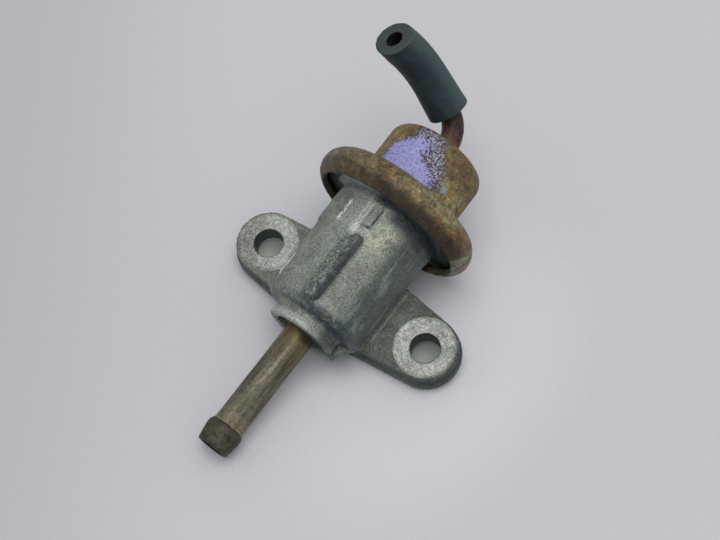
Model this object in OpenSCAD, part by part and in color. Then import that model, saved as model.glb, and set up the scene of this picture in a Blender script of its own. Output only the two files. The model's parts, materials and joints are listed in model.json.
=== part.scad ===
// Two-bolt fuel pressure regulator: a die-cast body with a mounting flange, a steel cover
// rolled over the body's rim, a bent vacuum pipe that carries a stub of hose, and a return
// pipe with a hose bead. Inside, a diaphragm carries a valve that is held shut by a spring.
// The mounting face lies on the XY plane and the bolts stand in a row along X. The body's
// own axis runs along Y. In the comments "s" is the distance along that axis from the
// flange's centre line towards the cover, which points to -Y, and "r" is the radius about it.

/* [Flange] */
// Distance between the two bolt holes
bolt_spacing = 40; // [38:0.5:44]
// Radius of a bolt hole
bolt_hole_r = 3.1; // [2.75:0.05:3.5]
// Radius of the machined ring round a bolt hole
spot_face_r = 6.4; // [5.5:0.1:6.5]
// Height of the machined ring above the mounting face
spot_face_z = 4.8; // [4.2:0.1:5]
// Height of the flange's cast top face
flange_t = 5.1; // [5:0.1:5.6]
// Height of the parting step on the flange's edge
parting_z = 2.5; // [2:0.1:3]
// End radius of an ear below the parting step
ear_r = 7.2; // [6.9:0.1:8]
// Half width of the flange at its middle, below the parting step
flange_mid_r = 9.6; // [9.2:0.1:11]
// How far the flange steps in above the parting line
parting_step = 0.4; // [0.2:0.05:0.5]

/* [Inlet] */
// Radius of the fuel inlet
inlet_r = 3; // [2:0.1:3.4]
// Radius of the recess for the sealing ring
seal_recess_r = 6.8; // [6.7:0.05:7.2]
// Depth of the recess for the sealing ring
seal_recess_depth = 1.9; // [1.6:0.1:2]
// Radius of the sealing ring's cord
seal_cord_r = 1.2; // [1:0.05:1.25]

/* [Body] */
// Height of the body's axis above the mounting face
axis_z = 11.7; // [11.6:0.1:12.5]
// Body radius at the return pipe's end
body_low_r = 11; // [10.8:0.1:11.1]
// Body radius below the cover
body_high_r = 11.1; // [11:0.1:11.2]
// Fuel chamber radius
chamber_r = 8; // [7.4:0.1:8.2]
// Width of the gate rib on top of the body
rib_w = 4; // [3:0.1:4.4]
// Height of the gate rib above the body
rib_h = 1.4; // [0.8:0.1:1.6]
// Height of the raised pad on the body's side below the cover
pad_h = 0.45; // [0.4:0.05:0.5]
// Radius of the boss that holds the return pipe
boss_r = 7.6; // [7.3:0.1:8]
// Radius of the recess in the boss
boss_recess_r = 5.6; // [5.3:0.1:5.9]

/* [Return pipe] */
// Outer radius of the return pipe
pipe_r = 3.2; // [3:0.05:3.3]
// Wall of the return pipe
pipe_wall = 0.8; // [0.6:0.05:1]
// How far the return pipe reaches from the flange's centre line
pipe_reach = 41.4; // [36:0.1:48]
// Radius of the hose bead
bead_r = 3.8; // [3.5:0.05:4]

/* [Cover] */
// Thickness of the cover's sheet
sheet_t = 1.4; // [1.2:0.1:1.5]
// Outer radius of the rolled rim
rim_r = 18.15; // [17.9:0.05:18.4]
// Outer radius of the dome
dome_r = 10.65; // [10.4:0.05:10.8]
// Distance of the dome's top from the flange's centre line
dome_top = 34.4; // [34:0.1:38]
// How far the rim's lip curls under, in degrees below its widest line
curl = 68; // [55:1:75]

/* [Vacuum pipe and hose] */
// Outer radius of the vacuum pipe
vacuum_r = 2.3; // [2:0.05:2.4]
// Bore radius of the vacuum pipe
vacuum_bore_r = 1.3; // [1:0.05:1.4]
// Bend radius of the vacuum pipe
vacuum_bend_r = 6; // [5.5:0.1:8]
// Angle of the vacuum pipe's bend
vacuum_bend = 78; // [60:1:90]
// Direction of that bend round the body's axis, from the bolt row towards the top
vacuum_side = 46; // [0:1:90]
// Outer radius of the hose where the pipe stretches it
hose_r = 4.35; // [4.2:0.05:4.6]
// Outer radius of the hose in its bend
hose_bend_outer_r = 4.1; // [3.9:0.05:4.2]
// Outer radius of the hose's free end
hose_end_r = 3.9; // [3.7:0.05:4]
// Bore radius of the hose's free end
hose_bore_r = 1.75; // [1.5:0.05:1.9]
// Length of the hose that is pushed over the pipe
hose_grip = 6; // [4:0.1:8]
// Bend radius of the hose's middle
hose_bend_r = 20.5; // [18:0.5:40]
// Angle of the hose's bend
hose_bend = 31; // [10:1:40]
// Direction of the hose's bend, turned from the plane of the pipe's bend
hose_side = 37.5; // [0:7.5:60]
// Straight stretch at the hose's free end
hose_end = 3.8; // [3:0.1:6]
// Tilt of the hose's cut end
cut_tilt = 12.5; // [0:0.5:20]
// Direction of that tilt round the hose
cut_side = 130; // [0:5:180]

/* [Valve] */
// Position of the valve seat along the axis
seat_s = 13.6; // [13.4:0.1:13.8]
// Bore radius of the valve seat
seat_bore_r = 1.8; // [1.2:0.1:2]
// Radius of the valve's flat disc
valve_r = 3.1; // [2.9:0.1:3.4]
// Wire radius of the main spring
spring_wire_r = 0.8; // [0.6:0.05:0.85]
// Mean radius of the main spring's turns
spring_mean_r = 6.3; // [6:0.1:6.4]
// Turns of the main spring
spring_turns = 5.5; // [4:0.5:6]

/* [Hidden] */

// Facets round a turned part, and the overlap at a tube's joints
round_fn = 96;
hairline = 0.02;

bolt_x = bolt_spacing / 2;

// The rolled rim: one circle in section, wrapped round the body's rounded edge
rim_section_r = 3.6;
rim_centre_r = rim_r - rim_section_r;
rim_s = 18.2;
rim_inside_r = rim_section_r - sheet_t;
rim_top = rim_s + rim_section_r;
clamp_top = rim_top - sheet_t;
edge_gap = 0.02;

// Body stations along the axis
boss_end = -13.4;
boss_recess_s = -11.6;
shoulder_s = -8.3;
shoulder_r = 1.8;
neck_s = 13.4;
edge_from = -38;
edge_top = 19.4;
chamber_floor = -6.5;
chamber_mouth_r = 12;
pipe_end_s = 9;

// Dome
dome_corner_r = 3.2;
dome_foot_r = 1.3;
dome_foot_centre = [dome_r + dome_foot_r, rim_top + dome_foot_r];
dome_corner_centre = [dome_r - dome_corner_r, dome_top - dome_corner_r];
dome_ceiling = dome_top - sheet_t;

// Valve stack along the axis, from the seat to the spring
disc_t = 1;
ball_r = 1.7;
ball_s = seat_s + 2.3;
holder_r = 3.4;
shank_r = 2;
retainer_t = 0.4;
retainer_r = 3;
holder_s = ball_s - 0.9;
plate_s = ball_s + ball_r;
plate_t = 0.8;
plate_r = 7.1;
diaphragm_t = 0.6;
diaphragm_s = plate_s + plate_t;
roll_r = 1.7;
roll_centre_r = 9.5;
seat_cup_s = diaphragm_s + diaphragm_t;
seat_cup_t = 0.8;
seat_cup_r = 8;
spring_s = seat_cup_s + seat_cup_t;

// Main spring: the heights of its first and last wire centre, its closed turns and its open pitch
spring_low = spring_s + spring_wire_r;
spring_high = dome_ceiling - spring_wire_r;
spring_closed = 0.75;
spring_shut_pitch = 2 * spring_wire_r + 0.1;
spring_pitch = (spring_high - spring_low - 2 * spring_closed * spring_shut_pitch)
    / (spring_turns - 2 * spring_closed);

// Vacuum pipe stations: it starts inside the dome and bends just above it
vacuum_start = dome_top - 2.2;
vacuum_bend_s = dome_top + 1.05;
hose_neck = 0.5;

// The hose's bend pinches its bore
hose_pinch = 0.1;

// Points of an arc, from one angle to another
function arc(centre, radius, from, to, steps = 10) =
    [for (i = [0 : steps]) let (a = from + (to - from) * i / steps) centre + radius * [cos(a), sin(a)]];

// Stands what is drawn along +Z on the body's axis, pointing towards the cover
module on_axis() {
    translate([0, 0, axis_z]) rotate([90, 0, 0]) children();
}

// A turned solid: its outline is a list of [r, s] points
module turned(outline) {
    on_axis() rotate_extrude($fn = round_fn) polygon(outline);
}

// Steps from the start of a bend to its end. The bend turns from +Z towards +X.
module after_bend(radius, angle) {
    translate([radius * (1 - cos(angle)), 0, radius * sin(angle)]) rotate([0, angle, 0]) children();
}

// A straight tube along +Z, from a hairline before the origin to its length
module tube(outer_r, inner_r, length) {
    translate([0, 0, -hairline]) difference() {
        cylinder(r = outer_r, h = length + hairline, $fn = 48);
        translate([0, 0, -1]) cylinder(r = inner_r, h = length + hairline + 2, $fn = 48);
    }
}

// A bent tube that starts at the origin along +Z and turns towards +X. Its skins lie a hairline
// inside those of the straight tubes at its ends.
module tube_bend(outer_r, inner_r, radius, angle) {
    translate([radius, 0, -hairline / 2]) rotate([90, 0, 0]) rotate([0, 0, 180 - angle])
        rotate_extrude(angle = angle, $fn = round_fn) translate([radius, 0]) difference() {
            circle(r = outer_r - hairline, $fn = 48);
            circle(r = inner_r + hairline, $fn = 48);
        }
}

// The two-eared flange outline: circles at the middle and the ears, joined by straight edges
// that lie a hairline inside their common tangents
module flange_outline(end_r, mid_r) {
    tilt = asin((mid_r - end_r) / bolt_x);
    mid_in = mid_r - hairline;
    end_in = end_r - hairline;
    circle(r = mid_r, $fn = round_fn);
    for (side = [-1, 1]) {
        translate([side * bolt_x, 0]) circle(r = end_r, $fn = round_fn);
        polygon([
            [side * mid_in * sin(tilt), -mid_in * cos(tilt)],
            [side * (bolt_x + end_in * sin(tilt)), -end_in * cos(tilt)],
            [side * (bolt_x + end_in * sin(tilt)), end_in * cos(tilt)],
            [side * mid_in * sin(tilt), mid_in * cos(tilt)]
        ]);
    }
}

module flange() {
    linear_extrude(parting_z) flange_outline(ear_r, flange_mid_r);
    linear_extrude(flange_t) flange_outline(ear_r - parting_step, flange_mid_r - parting_step);
}

// The body's turned outside, from the boss to the rounded edge that the cover is rolled over
module body_outside() {
    edge_r = rim_inside_r - edge_gap;
    edge_top_angle = asin((edge_top - rim_s) / edge_r);
    boss_chamfer = 0.3;
    boss_draft = 0.4;
    valley_r = 1;
    collar_step = 0.25;
    collar_r = body_high_r + collar_step;
    flare = 0.6;
    under_s = rim_s + edge_r * sin(edge_from);
    turned(concat(
        [[0, boss_end], [boss_r - boss_chamfer, boss_end], [boss_r, boss_end + boss_chamfer]],
        arc([boss_r - boss_draft + valley_r, shoulder_s - shoulder_r - valley_r], valley_r, 180, 90, 5),
        arc([body_low_r - shoulder_r, shoulder_s], shoulder_r, -90, 0, 6),
        [[body_high_r, neck_s], [collar_r, neck_s + collar_step]],
        [[collar_r + 0.1, under_s - flare], [collar_r + flare, under_s]],
        arc([rim_centre_r, rim_s], edge_r, edge_from, edge_top_angle, 14),
        [[0, edge_top]]
    ));
}

// The gate rib: a long bar on top of the body, steeper on its -X side, with broken ends
module gate_rib() {
    rib_x = -0.3;
    half = rib_w / 2;
    root_h = 1.5;
    crown = 0.2;
    broken = 0.7;
    foot = body_low_r + 0.1;
    ridge = body_low_r + rib_h;
    low_y = 8.6;
    high_y = -6.9;
    translate([rib_x, 0, axis_z]) intersection() {
        rotate([90, 0, 0]) linear_extrude(40, center = true) polygon([
            [-half, body_low_r - root_h], [-half, foot], [broken - half, ridge - crown],
            [-0.3 * half, ridge], [0.3 * half, ridge - crown], [half, foot], [half, body_low_r - root_h]
        ]);
        linear_extrude(ridge + 1) polygon([
            [-half, low_y - 1], [broken - half, low_y], [half - broken, low_y - crown], [half, low_y - 1.2],
            [half, high_y + 2.3], [-0.3, high_y], [0.4 - half, high_y + 0.2], [-half, high_y + 1.1]
        ]);
    }
}

// A pad below the cover, a sector of a ring that rises out of the body's side from foot_s to full_s
module cast_pad(from_angle, to_angle, height, foot_s, full_s, top_s) {
    deep_r = chamber_r + 2;
    sunk = 0.2;
    top_r = body_high_r + height;
    on_axis() rotate([0, 0, from_angle]) rotate_extrude(angle = to_angle - from_angle, $fn = round_fn)
        polygon([[deep_r, foot_s], [body_high_r - sunk, foot_s], [top_r, full_s], [top_r, top_s], [deep_r, top_s]]);
}

// The rounded corner between the body and an ear
module foot_fillet(side) {
    fillet_r = 0.4;
    fillet_len = 15;
    body_r = (body_low_r + body_high_r) / 2;
    centre_z = flange_t + fillet_r;
    centre_x = sqrt(pow(body_r + fillet_r, 2) - pow(axis_z - centre_z, 2));
    touch = body_r / (body_r + fillet_r);
    rotate([90, 0, 0]) linear_extrude(fillet_len, center = true) difference() {
        polygon([
            [side * centre_x, flange_t],
            [side * centre_x * touch, axis_z - (axis_z - centre_z) * touch],
            [side * (centre_x * touch - 2), axis_z - (axis_z - centre_z) * touch],
            [side * (centre_x - 3), flange_t - 1],
            [side * centre_x, flange_t - 1]
        ]);
        translate([side * centre_x, centre_z]) circle(r = fillet_r, $fn = 48);
    }
}

// A ragged fin of casting flash on the boss's corner
module casting_flash() {
    flash_t = 0.8;
    flash_z = axis_z - 2.3;
    translate([0, -boss_end, flash_z]) linear_extrude(flash_t) polygon([
        [1.4 - boss_r, -0.4], [0.4 - boss_r, 0.1], [-0.5 - boss_r, 0.9], [-0.4 - boss_r, -0.5],
        [-0.9 - boss_r, -1.8], [-1.6 - boss_r, -2.8], [-0.4 - boss_r, -3.8], [1.4 - boss_r, -3.6]
    ]);
}

// A thin seam of flash left along the body's side
module side_flash() {
    flash_angle = 34;
    flash_w = 0.5;
    flash_h = 0.3;
    root = 0.5;
    from_s = -6.4;
    to_s = -1.7;
    on_axis() rotate([0, 0, flash_angle]) translate([body_low_r - root, -flash_w / 2, from_s])
        cube([root + flash_h, flash_w, to_s - from_s]);
}

module body_casting() color([0.50, 0.53, 0.50]) {
    pocket_r = inlet_r + 0.6;
    pocket_z = axis_z - chamber_r + 0.6;
    chamber_corner = 0.6;
    mouth_from_s = 14.2;
    mouth_to_s = 17.8;
    difference() {
        union() {
            flange();
            body_outside();
            gate_rib();
            cast_pad(-25, 62, pad_h, 7, 7.5, 15);
            cast_pad(85, 97.5, pad_h + 0.1, 9.3, 9.5, 14.6);
            for (side = [-1, 1]) foot_fillet(side);
            casting_flash();
            side_flash();
        }
        // Fuel chamber, opening out under the diaphragm
        turned([
            [0, chamber_floor], [chamber_r - chamber_corner, chamber_floor],
            [chamber_r, chamber_floor + chamber_corner], [chamber_r, mouth_from_s], [chamber_mouth_r, mouth_to_s],
            [chamber_mouth_r, edge_top + 1], [0, edge_top + 1]
        ]);
        // Bore and recess for the return pipe
        turned([[0, boss_end - 1], [boss_recess_r, boss_end - 1], [boss_recess_r, boss_recess_s],
                [pipe_r, boss_recess_s], [pipe_r, chamber_floor + 1], [0, chamber_floor + 1]]);
        // Inlet with its seal recess, and a flat floor where it enters the chamber
        translate([0, 0, -1]) cylinder(r = seal_recess_r, h = 1 + seal_recess_depth, $fn = round_fn);
        translate([0, 0, -1]) cylinder(r = inlet_r, h = axis_z, $fn = round_fn);
        translate([0, 0, pocket_z]) cylinder(r = pocket_r, h = 4, $fn = round_fn);
        // Bolt holes with their machined rings
        for (x = [-bolt_x, bolt_x]) translate([x, 0, 0]) {
            translate([0, 0, -1]) cylinder(r = bolt_hole_r, h = flange_t + 2, $fn = round_fn);
            translate([0, 0, spot_face_z]) cylinder(r = spot_face_r, h = 3, $fn = round_fn);
        }
    }
}

module inlet_o_ring() color([0.08, 0.08, 0.08]) {
    ring_r = seal_recess_r - seal_cord_r - 0.1;
    translate([0, 0, seal_recess_depth - seal_cord_r])
        rotate_extrude($fn = round_fn) translate([ring_r, 0]) circle(r = seal_cord_r, $fn = 32);
}

// Steel tube with a rolled collar in the boss and a bead that holds the hose
module return_pipe() color([0.40, 0.37, 0.27]) {
    bore_r = pipe_r - pipe_wall;
    collar_r = boss_recess_r - 0.7;
    collar_s = boss_recess_s - 0.8;
    bead_s = -pipe_reach + 4.1;
    bead_land = 1;
    bead_top = bead_s + 0.2;
    turned([
        [bore_r, pipe_end_s], [pipe_r, pipe_end_s], [pipe_r, boss_recess_s], [collar_r, boss_recess_s],
        [collar_r, collar_s + 0.2], [collar_r - 0.2, collar_s], [pipe_r + 0.3, collar_s - 0.2],
        [pipe_r, collar_s - 0.7], [pipe_r, bead_top + 1], [bead_r - 0.1, bead_top + 0.2], [bead_r, bead_top],
        [bead_r, bead_top - bead_land], [pipe_r + 0.15, -pipe_reach + 0.2], [pipe_r - 0.1, -pipe_reach],
        [bore_r, -pipe_reach]
    ]);
}

// Turned seat pressed over the pipe's inner end
module valve_seat() color([0.72, 0.60, 0.32]) {
    seat_r = 4.4;
    land_r = seat_bore_r + 0.9;
    turned([
        [pipe_r, seat_s - 8.6], [seat_r, seat_s - 8.6], [seat_r, seat_s - 1.4], [land_r + 0.4, seat_s - 0.4],
        [land_r, seat_s], [seat_bore_r, seat_s], [seat_bore_r, pipe_end_s], [pipe_r, pipe_end_s]
    ]);
}

// Flat valve disc with the ball that lets it tilt to suit its seat
module valve() color([0.70, 0.70, 0.70]) {
    neck_r = 1.1;
    foot = asin(neck_r / ball_r) - 90;
    turned(concat(
        [[0, seat_s], [valve_r, seat_s], [valve_r, seat_s + disc_t - 0.2], [valve_r - 0.2, seat_s + disc_t],
         [neck_r, seat_s + disc_t]],
        arc([0, ball_s], ball_r, foot, 90, 16)
    ));
}

// Ring that keeps the ball in its holder
module valve_retainer() color([0.55, 0.55, 0.58]) {
    bore_r = 1.5;
    flare = 0.18;
    turned([
        [bore_r, holder_s], [retainer_r, holder_s], [retainer_r, holder_s + retainer_t],
        [bore_r + flare, holder_s + retainer_t]
    ]);
}

// Holder with the ball's pocket below and a shank riveted over the spring seat above
module valve_holder() color([0.62, 0.62, 0.60]) {
    pocket_r = ball_r + 0.05;
    rivet_r = 2.9;
    rivet_s = spring_s + 0.8;
    turned([
        [0, plate_s], [pocket_r, plate_s], [pocket_r, holder_s + retainer_t],
        [retainer_r, holder_s + retainer_t], [retainer_r, holder_s], [holder_r, holder_s],
        [holder_r, plate_s], [shank_r, plate_s], [shank_r, spring_s],
        [rivet_r, spring_s], [rivet_r - 0.2, rivet_s - 0.3], [rivet_r - 0.8, rivet_s], [0, rivet_s]
    ]);
}

module lower_plate() color([0.66, 0.66, 0.62]) {
    turned([[shank_r, plate_s], [plate_r - 0.3, plate_s], [plate_r, plate_s + 0.3], [plate_r, plate_s + plate_t],
            [shank_r, plate_s + plate_t]]);
}

// Rubberised fabric with one rolled convolution and a thick rim that is clamped
module diaphragm() color([0.10, 0.10, 0.11]) {
    mid_s = diaphragm_s + diaphragm_t / 2;
    outer_r = roll_r + diaphragm_t / 2;
    inner_r = roll_r - diaphragm_t / 2;
    hole_r = shank_r + 0.3;
    turned(concat(
        [[hole_r, diaphragm_s], [roll_centre_r - outer_r, diaphragm_s]],
        arc([roll_centre_r, mid_s], outer_r, 190, 360, 14),
        [[roll_centre_r + outer_r, edge_top], [rim_centre_r, edge_top], [rim_centre_r, clamp_top],
         [roll_centre_r + inner_r, clamp_top]],
        arc([roll_centre_r, mid_s], inner_r, 360, 180, 14),
        [[roll_centre_r - inner_r - 0.2, diaphragm_s + diaphragm_t], [hole_r, diaphragm_s + diaphragm_t]]
    ));
}

// Pressed cup that the spring stands in
module spring_seat() color([0.64, 0.62, 0.52]) {
    cup_h = 2.6;
    wall = 0.7;
    inside_r = seat_cup_r - wall;
    turned([
        [shank_r, seat_cup_s], [seat_cup_r - 0.9, seat_cup_s], [seat_cup_r - 0.2, seat_cup_s + 0.5],
        [seat_cup_r, seat_cup_s + 1.2], [seat_cup_r, seat_cup_s + cup_h], [inside_r, seat_cup_s + cup_h],
        [inside_r, seat_cup_s + seat_cup_t], [shank_r, seat_cup_s + seat_cup_t]
    ]);
}

// Height of the spring's wire after so many turns: the end turns are closed, the rest share the travel
function spring_height(turn) =
    turn < spring_closed ? spring_low + spring_shut_pitch * turn
    : turn > spring_turns - spring_closed ? spring_high - spring_shut_pitch * (spring_turns - turn)
    : spring_low + spring_shut_pitch * spring_closed + spring_pitch * (turn - spring_closed);

// Compression spring between its cup and the dome's ceiling
module main_spring() color([0.42, 0.42, 0.44]) {
    steps_per_turn = 20;
    sides = 8;
    steps = spring_turns * steps_per_turn;
    points = [for (i = [0 : steps], k = [0 : sides - 1])
        let (turn = i / steps_per_turn, a = 360 * (k + 0.5) / sides, r = spring_mean_r + spring_wire_r * cos(a))
        [r * cos(360 * turn), r * sin(360 * turn), spring_height(turn) + spring_wire_r * sin(a)]];
    walls = [for (i = [0 : steps - 1], k = [0 : sides - 1])
        let (a = i * sides + k, b = i * sides + (k + 1) % sides) [a, b, b + sides, a + sides]];
    caps = [[for (k = [0 : sides - 1]) sides - 1 - k], [for (k = [0 : sides - 1]) steps * sides + k]];
    on_axis() polyhedron(points, concat(walls, caps), convexity = 10);
}

// Pressed steel cover: a lip rolled under the body's edge, a flat shoulder and a dome
module cover() color([0.52, 0.42, 0.24]) {
    rim_centre = [rim_centre_r, rim_s];
    turned(concat(
        arc(rim_centre, rim_section_r, -curl, 90, 20),
        arc(dome_foot_centre, dome_foot_r, -90, -180, 6),
        arc(dome_corner_centre, dome_corner_r, 0, 90, 8),
        [[vacuum_r, dome_top], [vacuum_r, dome_ceiling]],
        arc(dome_corner_centre, dome_corner_r - sheet_t, 90, 0, 6),
        arc(dome_foot_centre, dome_foot_r + sheet_t, 180, 270, 6),
        arc(rim_centre, rim_inside_r, 90, -curl, 16)
    ));
}

// The start of the vacuum pipe's bend, turned so that it bends towards its own +X
module at_vacuum_bend() {
    on_axis() rotate([0, 0, vacuum_side]) translate([0, 0, vacuum_bend_s]) children();
}

module vacuum_pipe() color([0.36, 0.22, 0.15]) at_vacuum_bend() {
    translate([0, 0, vacuum_start - vacuum_bend_s]) tube(vacuum_r, vacuum_bore_r, vacuum_bend_s - vacuum_start);
    tube_bend(vacuum_r, vacuum_bore_r, vacuum_bend_r, vacuum_bend);
    after_bend(vacuum_bend_r, vacuum_bend) tube(vacuum_r, vacuum_bore_r, hose_grip);
}

// A tapered tube along +Z, from a hairline before the origin to its length
module tapered_tube(start_r, end_r, inner_r, length) {
    translate([0, 0, -hairline]) difference() {
        cylinder(r1 = start_r, r2 = end_r, h = length + hairline, $fn = 48);
        translate([0, 0, -1]) cylinder(r = inner_r, h = length + hairline + 2, $fn = 48);
    }
}

// The hose grips the pipe's straight end up to a short neck, bends by itself and is cut off askew
module vacuum_hose() color([0.17, 0.20, 0.20]) at_vacuum_bend() after_bend(vacuum_bend_r, vacuum_bend) {
    spare = hose_end_r * tan(cut_tilt) + 0.2;
    difference() {
        tapered_tube(hose_r, hose_bend_outer_r, hose_bore_r, hose_grip + hose_neck);
        translate([0, 0, -1]) cylinder(r = vacuum_r, h = hose_grip + 1, $fn = 48);
    }
    translate([0, 0, hose_grip + hose_neck]) rotate([0, 0, hose_side]) {
        tube_bend(hose_bend_outer_r, hose_bore_r - hose_pinch, hose_bend_r, hose_bend);
        after_bend(hose_bend_r, hose_bend) difference() {
            tapered_tube(hose_bend_outer_r, hose_end_r, hose_bore_r, hose_end + spare);
            translate([0, 0, hose_end]) rotate([0, cut_tilt, cut_side])
                translate([0, 0, 5]) cube([20, 20, 10], center = true);
        }
    }
}

body_casting();
inlet_o_ring();
return_pipe();
valve_seat();
valve();
valve_retainer();
valve_holder();
lower_plate();
diaphragm();
spring_seat();
main_spring();
cover();
vacuum_pipe();
vacuum_hose();
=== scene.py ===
"""Looks of a used fuel pressure regulator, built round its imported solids."""
import json
import math
from types import SimpleNamespace

import bpy
import numpy as np
from mathutils import Matrix, Vector, noise


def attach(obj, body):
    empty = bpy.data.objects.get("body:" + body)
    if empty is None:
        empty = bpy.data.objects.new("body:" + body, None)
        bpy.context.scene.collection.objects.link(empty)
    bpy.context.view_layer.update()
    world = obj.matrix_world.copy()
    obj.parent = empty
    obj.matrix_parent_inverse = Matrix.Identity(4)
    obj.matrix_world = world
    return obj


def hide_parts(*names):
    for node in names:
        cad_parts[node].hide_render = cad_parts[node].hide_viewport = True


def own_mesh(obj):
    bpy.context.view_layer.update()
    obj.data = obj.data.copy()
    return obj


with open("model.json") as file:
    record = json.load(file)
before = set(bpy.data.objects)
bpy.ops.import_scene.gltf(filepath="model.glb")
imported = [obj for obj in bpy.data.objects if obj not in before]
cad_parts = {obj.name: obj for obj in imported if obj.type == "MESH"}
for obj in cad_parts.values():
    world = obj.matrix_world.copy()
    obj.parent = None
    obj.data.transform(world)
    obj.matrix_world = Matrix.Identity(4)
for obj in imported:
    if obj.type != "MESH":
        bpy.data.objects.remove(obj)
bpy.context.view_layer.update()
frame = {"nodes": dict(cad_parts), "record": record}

MM = 0.001
NODES = frame["nodes"]
RECORD = frame["record"]
MOUNTS = {mount["name"]: mount for mount in RECORD["mounts"]}
SLOT_OF = {part["node"]: part["material_slot"] for part in RECORD["subparts"]}
ROOT = "regulator_body"

# Places that the looks depend on, in millimetres of the part's frame
AXIS_Z = MOUNTS["return_hose_bead"]["pos_m"][2] / MM
BOLT_X = MOUNTS["flange_bolts"]["dims"]["spacing_x_mm"] / 2
BOLT_R = MOUNTS["flange_bolts"]["dims"]["hole_r_mm"]
SPOT_FACE_R = 6.4
SPOT_FACE_Z = 4.8
HOSE_END = Vector(MOUNTS["vacuum_hose_end"]["pos_m"]) / MM
HOSE_AXIS = Vector(MOUNTS["vacuum_hose_end"]["axis"])
HOSE_CUT_BEYOND = 2.1
HOSE_CUT_AT = HOSE_END + HOSE_CUT_BEYOND * HOSE_AXIS
HOSE_CUT_OUT = Vector((0.384, 0.010, 0.923))
HOSE_LIT_DUSTY_SIDE = Vector((-0.557, -0.703, 0.439))
BLUE_SPOT = Vector((-7.7, -25.4, 19.1))

# The soft nodes, with the y of each one's moving end, in metres
MOVING_END_Y = {"main_spring": -0.0198, "diaphragm": -0.0184}

# The camera, fitted to the edges of the flange, the pipe and the cover, with its place in millimetres
CAMERA_AT = Vector((-100.7, 69.4, 308.5))
CAMERA_FORWARD = Vector((0.3084, -0.2290, -0.9233))
CAMERA_DOWN = Vector((-0.5266, 0.7672, -0.3662))
CAMERA_RIGHT = CAMERA_DOWN.cross(CAMERA_FORWARD)
CAMERA_LENS = 80.9
CAMERA_NEAR = 0.01
CAMERA_FAR = 50.0

# How the part lies: on the cover's rim, the return pipe's tip and one ear
REST_PITCH = math.radians(13.885)
REST_ROLL = math.radians(0.23)
FLOOR_UP = Vector((math.tan(REST_ROLL), -math.tan(REST_PITCH), 1.0)).normalized()


# Small helpers for shader trees

NOISE_LOW = 0.3
NOISE_MIDDLE = 0.5
NOISE_HIGH = 0.7
TOP_DEG = 90.0
SEAM_FADE_DEG = (178, 118)
SEAM_FADE_MM = (1.0, 8.0)

# Sockets of the mix node by their place, because their names repeat
MIX_FACTOR = 0
MIX_NUMBERS = (2, 3)
MIX_NUMBER_OUT = 0
MIX_COLOURS = (6, 7)
MIX_COLOUR_OUT = 2


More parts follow.
